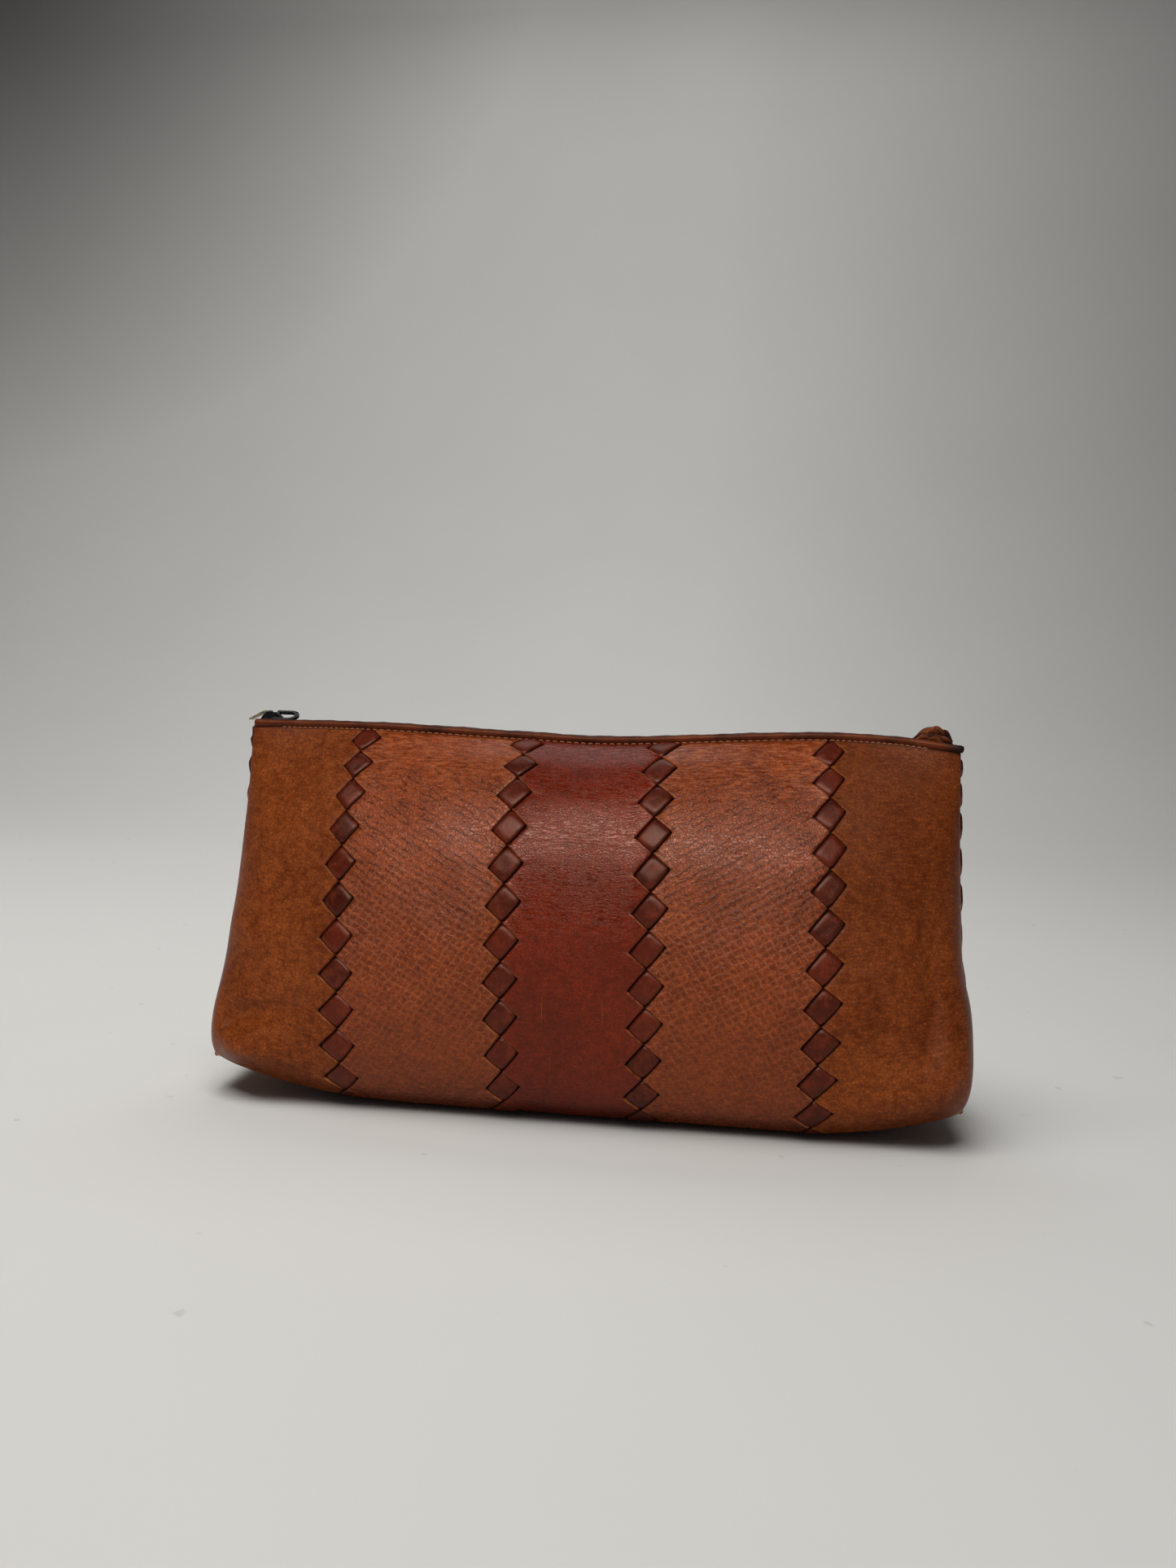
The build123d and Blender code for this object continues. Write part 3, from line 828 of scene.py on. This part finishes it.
def end_panel(name, side, column):
    """Front, base and back of an end in one sheet, folded round the end to the laced side seam."""
    q_rows = np.unique(np.concatenate([q_at(column, ROW_LINES), [1.0, 2.0]]))
    diamonds = np.interp(q_rows, q_at(column, ROW_LINES), ROW_LINES)
    reach, shows = laced_edge(diamonds, PHASE[column], side > 0)
    edge = OUTER_X + side * column_wobble(column, diamonds) + EDGE_GAP + HALF * reach
    none = np.zeros_like(diamonds)
    points, raws, slit_shades, lips, worn, flats, faces = [], [], [], [], [], [], []

    def add_grid(girths, q, lift, raw, slit_shade, distance):
        start = sum(len(p) for p in points)
        shape = girths.shape
        body = skin(girths, q) + normals(girths, q) * lift[..., None]
        tips = [skin(np.array([side * TIP]), np.array([corner]))[0] for corner in (1.0, 2.0)]
        wear = 0.7 * sum(np.exp(-(np.linalg.norm(body - tip, axis=-1) / 2.6) ** 2) for tip in tips)
        points.append(body.reshape(-1, 3))
        raws.append(raw.ravel())
        slit_shades.append(slit_shade.ravel())
        lips.append(np.repeat(lip_closeness(distance), shape[1]))
        worn.append(wear.ravel())
        down = np.broadcast_to(distance[:, None] * PITCH, shape)
        flats.append(np.stack([girths * OUTER_X, down], -1).reshape(-1, 2))
        faces.extend(grid_faces(shape[0], shape[1], start, side < 0))

    # the main grid runs from the column's saw teeth to the girth of the boxed corner's tip
    columns, lifts, raw_levels, slit_shade_levels = [], [], [], []
    for d, depth, raw in EDGE_STEPS:
        columns.append(girth_beyond(edge + d))
        lifts.append(edge_lift(np.full_like(diamonds, d), reach, shows) - depth)
        raw_levels.append(raw * shows)
        slit_shade_levels.append(raw * (1 - shows))
    first = girth_beyond(edge + EDGE_STEPS[-1][0])
    for s in np.linspace(0, 1, 40)[1:]:
        straight = 1 + (TIP - 1) * s
        g = straight + (first - 1) * np.clip(1 - s * 1.9, 0, 1) ** 1.5
        columns.append(g)
        lifts.append(edge_lift(np.maximum((g - 1) * END_GIRTH_LENGTH - (edge - OUTER_X), 0), reach, shows))
        raw_levels.append(none)
        slit_shade_levels.append(none)
    girths = side * np.stack(columns, 1)
    q_grid = np.broadcast_to(q_rows[:, None], girths.shape)
    add_grid(girths, q_grid, np.stack(lifts, 1), np.stack(raw_levels, 1), np.stack(slit_shade_levels, 1), diamonds)

    # the two halves of the end face
    for part in (q_rows <= 1.0, q_rows >= 2.0):
        q_part = q_rows[part]
        half_width = np.linalg.norm(skin(np.full_like(q_part, side * 2.0), q_part)
                                    - skin(np.full_like(q_part, side * TIP), q_part), axis=-1)
        down = (np.where(q_part < 1, q_part, 3 - q_part) - SEAM_TOP) / (1 - SEAM_TOP) * SEAM_COUNT
        bite = SEAM_GAP + SEAM_HALF * laced_edge(down, 0.5, q_part[0] >= 2)[0]
        bite = bite / np.maximum(half_width, 9.0) * (2 - TIP)
        cols = [TIP + (2 - TIP - bite) * s for s in np.linspace(0, 1, SEAM_COLS)] + [2 - bite] * 3
        depths = np.array([0.0] * SEAM_COLS + [0.25, 0.8, 1.5])
        levels = np.array([0.0] * (SEAM_COLS - 1) + [0.4, 0.7, 0.7, 0.7])
        g = side * np.stack(cols, 1)
        q_grid, depth, level = (np.broadcast_to(row, g.shape) for row in (q_part[:, None], depths, levels))
        add_grid(g, q_grid, -depth, level, np.zeros(g.shape), diamonds[part])
    piece = make_object(
        name, np.concatenate(points), faces, TAN,
        attributes={
            "raw": np.concatenate(raws), "slit_shade": np.concatenate(slit_shades), "lip": np.concatenate(lips),
            "worn": np.concatenate(worn),
        },
        uv=np.concatenate(flats),
    )
    weld(piece, 0.02 * MM)
    thicken(piece, 1.3 * MM)


def girth_beyond(x):
    """Girth coordinate of a distance along the bag at or just past the outer column."""
    return np.where(x <= OUTER_X, x / OUTER_X, 1 + (x - OUTER_X) / END_GIRTH_LENGTH)


END_GIRTH_LENGTH = float(np.linalg.norm(np.diff(FRONT[ROWS // 2, -COLS_END:], axis=0), axis=-1).sum())
end_panel("left_end_panel", -1, "left_outer")
end_panel("right_end_panel", 1, "right_outer")


# ---- laced diamonds

DIAMOND = 15                 # grid points across a diamond
TUCK = 1.14                  # a strip runs on under the panels at its two ends
STRIP = 0.955


def diamond_patch(place, along_half, down_half, crown, seed):
    """One pillow of lace. place(dx, dv) gives skin points and normals near the diamond's middle."""
    a, b = np.meshgrid(np.linspace(-1, 1, DIAMOND), np.linspace(-1, 1, DIAMOND), indexing="ij")
    rng = np.random.default_rng(seed)
    tilt, sag, shift = rng.uniform(-0.2, 0.2), rng.uniform(0.0, 0.24), rng.uniform(-0.3, 0.3, 2)
    wide, deep = a * TUCK * (1 - 0.04 * b * b), b * STRIP * (1.03 - 0.13 * a ** 4)
    dx = along_half * (wide + deep) / 2
    dv = down_half * ((deep - wide) / 2 - SKEW * (wide + deep))
    point, normal = place(dx, dv)
    arch = (1 - np.abs(a) ** 5.0) ** 0.75
    height = -1.1 + (crown + 1.1) * arch - 0.55 * np.abs(b) ** 7 - 0.10 * b * b
    height = height + tilt * b - sag * np.exp(-((a - shift[0]) ** 2 + (b - shift[1]) ** 2) / 0.25)
    top = point + normal * height[..., None]
    low = point - normal * 1.9
    last = DIAMOND - 1
    rim = [(0, j) for j in range(last)] + [(i, last) for i in range(last)]
    rim += [(last, j) for j in range(last, 0, -1)] + [(i, 0) for i in range(last, 0, -1)]
    count = DIAMOND * DIAMOND
    faces = grid_faces(DIAMOND, DIAMOND)
    faces += grid_faces(DIAMOND, DIAMOND, count, True)
    for (i0, j0), (i1, j1) in zip(rim, rim[1:] + rim[:1]):
        m, n = i0 * DIAMOND + j0, i1 * DIAMOND + j1
        faces.append((n, m, m + count, n + count))
    points = np.concatenate([top.reshape(-1, 3), low.reshape(-1, 3)])
    marks = {
        "edge": np.concatenate([np.maximum(np.abs(a) * 0.97, np.abs(b)).ravel(), np.ones(count)]),
        "tint": np.full(2 * count, rng.uniform()),
    }
    along = np.stack([a * 6.0, b * 5.0 + seed * 11.0], -1).reshape(-1, 2)
    return points, faces, marks, np.concatenate([along, along])


def join_patches(patches):
    """Several (points, faces, marks, uv) patches as one."""
    faces, start = [], 0
    for points, patch_faces, _, _ in patches:
        faces.extend([tuple(i + start for i in face) for face in patch_faces])
        start += len(points)
    marks = {key: np.concatenate([patch[2][key] for patch in patches]) for key in patches[0][2]}
    points, uv = (np.concatenate([patch[k] for patch in patches]) for k in (0, 3))
    return points, faces, marks, uv


def lace_object(name, patches):
    points, faces, marks, uv = join_patches(patches)
    make_object(name, points, faces, LACE, marks, uv)


def laced_column(name, x):
    patches = []
    for k in range(COUNT):
        def place(dx, dv, centre=k + PHASE[name]):
            where = centre + dv
            q = q_at(name, np.clip(where, 0.02, COUNT - 0.25))
            g = girth_beyond(np.abs(x + column_wobble(name, where) + dx)) * np.sign(x)
            return skin(g, q), normals(g, q)

        patches.append(diamond_patch(place, HALF, 0.5, 0.55, 100 * COLUMNS.index(name) + k))
    lace_object(f"{name}_lacing", patches)


for name, x in zip(COLUMNS, COLUMN_X):
    laced_column(name, x)


def side_lacing(name, side):
    """Lace down the middle of an end, from the lip to the boxed corner."""
    spacing = (1 - SEAM_TOP) / SEAM_COUNT
    patches = []
    for k in range(SEAM_COUNT):
        def place(dx, dv, centre=SEAM_TOP + (k + 0.5) * spacing):
            t = np.clip(centre + dv, 0.01, 1.0)
            end = skin(np.full_like(t, side * 2.0), t)
            out = np.zeros_like(end)
            out[..., 0] = side
            return end + np.stack([-0.02 * side * dx ** 2, side * dx, np.zeros_like(dx)], -1), out

        patches.append(diamond_patch(place, SEAM_HALF, 0.5 * spacing, 1.5 if side > 0 else 2.3, 500 + k))
    lace_object(name, patches)


side_lacing("left_side_lacing", -1)
side_lacing("right_side_lacing", 1)


# ---- tubes that follow a line

def tube_faces(rings, sides):
    """Faces of a tube of rings of points, with a flat cap at each end."""
    faces = []
    for j in range(rings - 1):
        for i in range(sides):
            k = (i + 1) % sides
            faces.append((j * sides + i, (j + 1) * sides + i, (j + 1) * sides + k, j * sides + k))
    last = range((rings - 1) * sides, rings * sides)
    return faces + [tuple(range(sides)), tuple(reversed(last))]


def swept(line, radii_out, radii_up, sides, power=2.0):
    """A closed tube along a line of points, narrowed at its ends. A power over 2 squares its section."""
    tangent = np.gradient(line, axis=0)
    tangent /= np.linalg.norm(tangent, axis=1, keepdims=True)
    out = np.cross(tangent, (0.0, 0.0, 1.0))
    out /= np.linalg.norm(out, axis=1, keepdims=True)
    up = np.cross(out, tangent)
    angle = np.linspace(0, 2 * math.pi, sides, endpoint=False)
    c = np.sign(np.cos(angle)) * np.abs(np.cos(angle)) ** (2 / power)
    s = np.sign(np.sin(angle)) * np.abs(np.sin(angle)) ** (2 / power)
    scale = np.ones(len(line))
    scale[[0, -1]] = 0.45
    scale[[1, -2]] = 0.86
    points = np.concatenate([
        p + (np.outer(c, out[k]) * radii_out[k] + np.outer(s, up[k]) * radii_up[k]) * scale[k]
        for k, p in enumerate(line)
    ])
    return points, tube_faces(len(line), sides)


BIND_Y = LIP_Y - 0.55
BIND_LEFT, BIND_RIGHT = -143.4, 144.6
BIND_LIFT = 1.05             # the bound edge's middle, above the walls' lip
BIND_RADIUS = 1.5
for name, side in (("front", -1), ("back", 1)):
    tips = np.array([0, 0.3, 0.9])
    middle = np.linspace(BIND_LEFT + 2.5, BIND_RIGHT - 2.5, 180)
    x = np.concatenate([BIND_LEFT + tips, middle, BIND_RIGHT - tips[::-1]])
    z = LIP_CUT + LIP_SEAT + smooth_through(x, LIP_WAVE) + BIND_LIFT
    ripple = 0.09 * np.sin(x * 0.21 + side) + 0.07 * np.sin(x * 0.53) + 0.05 * np.sin(x * 1.1 + 2)
    line = np.stack([x, np.full_like(x, side * BIND_Y), z], -1)
    points, faces = swept(line, BIND_RADIUS + ripple * 0.5, BIND_RADIUS + ripple, sides=20, power=2.4)
    above = points[:, 2] - np.interp(points[:, 0], x, z)
    ends = smooth_step(points[:, 0], BIND_RIGHT - 9, BIND_RIGHT - 1)
    make_object(f"{name}_binding", points, faces, BINDING, {"rise": above / BIND_RADIUS, "ink_and_fold_shade": ends},
                np.stack([points[:, 0], points[:, 2] * 3], -1))


# ---- stitches under the bound edge

STITCHES = 98
STITCH_REACH = 140.5         # from the middle of the bag to the last stitch
STITCH_DOWN = 0.0075         # share of the wall above the row
STITCH_RADIUS = 0.27
STITCH_RISE = np.array([-0.15, 0.16, 0.24, 0.16, -0.15])


def stitches(name, side):
    patches = []
    for k in range(STITCHES):
        middle = STITCH_REACH * (2 * k / (STITCHES - 1) - 1)
        x = middle + np.array([-1.05, -0.7, 0, 0.7, 1.05])
        q = np.full_like(x, STITCH_DOWN if side < 0 else 3 - STITCH_DOWN)
        g = np.sign(x) * girth_beyond(np.abs(x))
        radii = np.full_like(x, STITCH_RADIUS)
        points, faces = swept(skin(g, q) + normals(g, q) * STITCH_RISE[:, None], radii, radii, sides=8)
        patches.append((points, faces, {}, points[:, :2]))
    points, faces, marks, uv = join_patches(patches)
    make_object(f"{name}_top_stitching", points, faces, THREAD, marks, uv)


stitches("front", -1)
stitches("back", 1)


# ---- boxed corner seams

for name, side in (("left_corner_seam", -1), ("right_corner_seam", 1)):
    r = np.linspace(0.03, 0.97, 60)
    line = skin(side * foot_line(r), np.where(r < 0.5, 1.0, 2.0))
    line[:, 0] -= side * 0.5
    line[:, 2] += 0.2
    swell = 0.85 + 0.12 * np.sin(r * 40)
    points, faces = swept(line, swell, swell * 1.15, sides=12)
    tips = np.clip(0.4 - np.minimum(r, 1 - r) * 4, 0, 1)
    make_object(name, points, faces, TAN, {"worn": np.repeat(tips, 12), "raw": np.full(len(points), 0.15)},
                points[:, 1:])


# ---- lining

LINING_DEPTH = 2.1           # under the leather's outer face


def lining():
    """A thin bag inside the leather."""
    points, faces = [], []
    wall = np.linspace(0.004, 1, 50)
    q_all = np.concatenate([wall, np.linspace(1, 2, 16)[1:], 3 - wall[-2::-1]])
    blocks = [(np.linspace(-TIP, TIP, 90), q_all)]
    for side in (-1, 1):
        for part in (q_all[q_all <= 1], q_all[q_all >= 2]):
            blocks.append((side * np.linspace(TIP, 2, 14), part))
    for girths, qs in blocks:
        g, q = np.meshgrid(girths, qs)
        start = sum(len(p) for p in points)
        points.append((skin(g, q) - normals(g, q) * LINING_DEPTH).reshape(-1, 3))
        faces.extend(grid_faces(len(qs), len(girths), start, girths[-1] < girths[0]))
    piece = make_object("lining", np.concatenate(points), faces, LINING, {}, None)
    weld(piece, 0.3 * MM)
    thicken(piece, 0.4 * MM)


lining()


# ---- crumpled leather tab

TAB_CREST = [(0, 0.08), (0.12, 0.22), (0.3, 0.48), (0.5, 0.84), (0.64, 1.0), (0.78, 0.9), (0.92, 0.7),
             (1, 0.35)]
TAB_RISE, TAB_LENGTH = 9.2, 20.2


def crumpled_tab():
    """The zip's tail, folded in leather: a bunched lump with folds running along it."""
    low, high = node_box("zip_end_tab")
    along, around = 64, 48
    turn = np.linspace(0, 2 * math.pi, around, endpoint=False)
    s, a = np.meshgrid(np.linspace(0, 1, along), turn, indexing="ij")
    crest = smooth_through(s, TAB_CREST)
    fold = np.abs(np.sin(2.5 * a + 4 * s)) ** 0.7
    tuck = np.abs(np.sin(4 * a - 9 * s + 1)) ** 0.8
    crumple = 0.58 + 0.36 * fold + 0.26 * tuck + 0.07 * np.sin(19 * s + 3 * a) + 0.05 * np.sin(31 * s - 5 * a)
    half = (high[1] - low[1]) / 2 * (0.62 + 0.3 * np.sin(math.pi * np.clip(s * 1.1, 0, 1)))
    y = half * np.cos(a) * crumple
    z = low[2] + 0.3 + TAB_RISE * crest * (0.5 + 0.5 * np.sin(a)) * (0.6 + 0.4 * crumple)
    x = low[0] + 1.0 + TAB_LENGTH * s + 0.7 * np.sin(4 * a + 2) * s + 0.5 * np.sin(9 * a)
    points = np.stack([x, (low[1] + high[1]) / 2 + y, z], -1).reshape(-1, 3)
    # the tab's tip is inked dark; the hollows between its folds get painted shade
    ink_and_fold_shade = 0.85 * smooth_step(s, 0.84, 0.95) + 0.8 * (1 - smooth_step(fold * tuck, 0.1, 0.4))
    attributes = {"rise": 0.5 * fold * tuck, "ink_and_fold_shade": np.clip(ink_and_fold_shade, 0, 1)}
    make_object("zip_end_tab", points, tube_faces(along, around), BINDING, attributes, points[:, :2])


crumpled_tab()


# ---- finishes for the CAD's own pieces

for material, nodes in (
    (ZIP_TAPE, ("front_zip_tape", "back_zip_tape")),
    (ZIP_METAL, ("front_zip_teeth", "back_zip_teeth", "zip_top_stops", "zip_bottom_stop")),
    (GUNMETAL, ("slider_body", "slider_bridge")),
    (WORN_BRASS, ("slider_leaf",)),
    (RING_METAL, ("pull_ring",)),
):
    for node in nodes:
        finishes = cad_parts[node].data.materials
        finishes.clear()
        finishes.append(material)


# ---- floor and light

def build_stage():
    """A pale sweep that runs on into the backdrop, with painted shade: darker to the right and in the far
    left corner.
    """
    s = Shader("floor")
    where = s.place()
    tone = s.noise(where, 2.5, 3)
    colour = s.mix(tone, rgb(214, 212, 209), rgb(222, 221, 217))
    x, _, z = s.axes(where)
    lying = s.inverse(s.math("MULTIPLY", z, 40.0, True))
    specks = s.times(s.ramp(s.noise(where, 70, 2, 0.5), (0.735, 0), (0.76, 1)), lying)
    colour = s.lay(colour, specks, 0.25, rgb(150, 146, 138))
    # painted shade: the sweep darkens to the right and into the far left corner, a painted falloff of the
    # light
    right = s.ramp(s.plus(s.times(x, 0.5), 0.5), (0.48, 1), (0.9, 0.67))
    reach = s.node("ShaderNodeVectorMath", operation="DISTANCE")
    s.link(where, reach.inputs[0])
    reach.inputs[1].default_value = (-1.75, 2.0, 1.95)
    corner = s.ramp(s.times(reach.outputs["Value"], 0.5), (0.16, 0.22), (0.70, 1))
    colour = s.mix(1.0, colour, s.times(right, corner), "MULTIPLY")
    material = s.finish(colour, 0.8, s.bump(s.noise(where, 700, 3), 0.3, 0.00008), Specular_IOR_Level=0.2)
    mesh = bpy.data.meshes.new("floor")
    half, turn, radius, top = 3.0, 0.9, 1.1, 4.0
    curve = [(-2.0, 0.0), (turn, 0.0)]
    for k in range(1, 17):
        a = math.radians(90 * k / 16)
        curve.append((turn + radius * math.sin(a), radius - radius * math.cos(a)))
    curve.append((turn + radius, top))
    verts = [(x, y, z) for y, z in curve for x in (-half, half)]
    mesh.from_pydata(verts, [], [(2 * i, 2 * i + 1, 2 * i + 3, 2 * i + 2) for i in range(len(curve) - 1)])
    smooth(mesh)
    mesh.materials.append(material)
    floor = bpy.data.objects.new("floor", mesh)
    scene.collection.objects.link(floor)
    return floor


def area_light(name, place, aim, size, power, colour=(1, 1, 1)):
    data = bpy.data.lights.new(name, "AREA")
    data.shape = "RECTANGLE"
    data.size, data.size_y = size
    data.energy = power
    data.color = colour
    light = bpy.data.objects.new(name, data)
    light.location = place
    light.rotation_euler = (Vector(aim) - Vector(place)).to_track_quat("-Z", "Y").to_euler()
    scene.collection.objects.link(light)
    return light


pieces = [piece for piece in scene.objects if piece.type == "MESH"]
floor = build_stage()
window = area_light("window", (-0.02, -1.0, 0.90), (0, 0, 0.10), (1.2, 0.42), 17.0, (1.0, 0.985, 0.96))
area_light("overhead", (-0.1, 1.15, 2.0), (-0.05, 0.05, 0), (1.5, 1.0), 6.0, (0.97, 0.99, 1.0))
fill = area_light("fill", (-0.30, -0.50, 2.0), (-0.1, -0.25, 0), (1.6, 1.3), 35.0, (1.0, 0.993, 0.975))
area_light("backdrop", (-0.3, 0.8, 2.0), (-0.25, 2.0, 0.45), (1.4, 0.5), 2.0, (0.98, 0.985, 1.0))
# the window is flagged off the floor, and the fill is kept for the floor
for light, lit in ((window, pieces), (fill, [floor])):
    group = bpy.data.collections.new(f"{light.name}_lights")
    for piece in lit:
        group.objects.link(piece)
    light.light_linking.receiver_collection = group
world = bpy.data.worlds.new("world")
world.use_nodes = True
world.node_tree.nodes["Background"].inputs[0].default_value = (0.80, 0.82, 0.83, 1)
world.node_tree.nodes["Background"].inputs[1].default_value = 0.08
scene.world = world
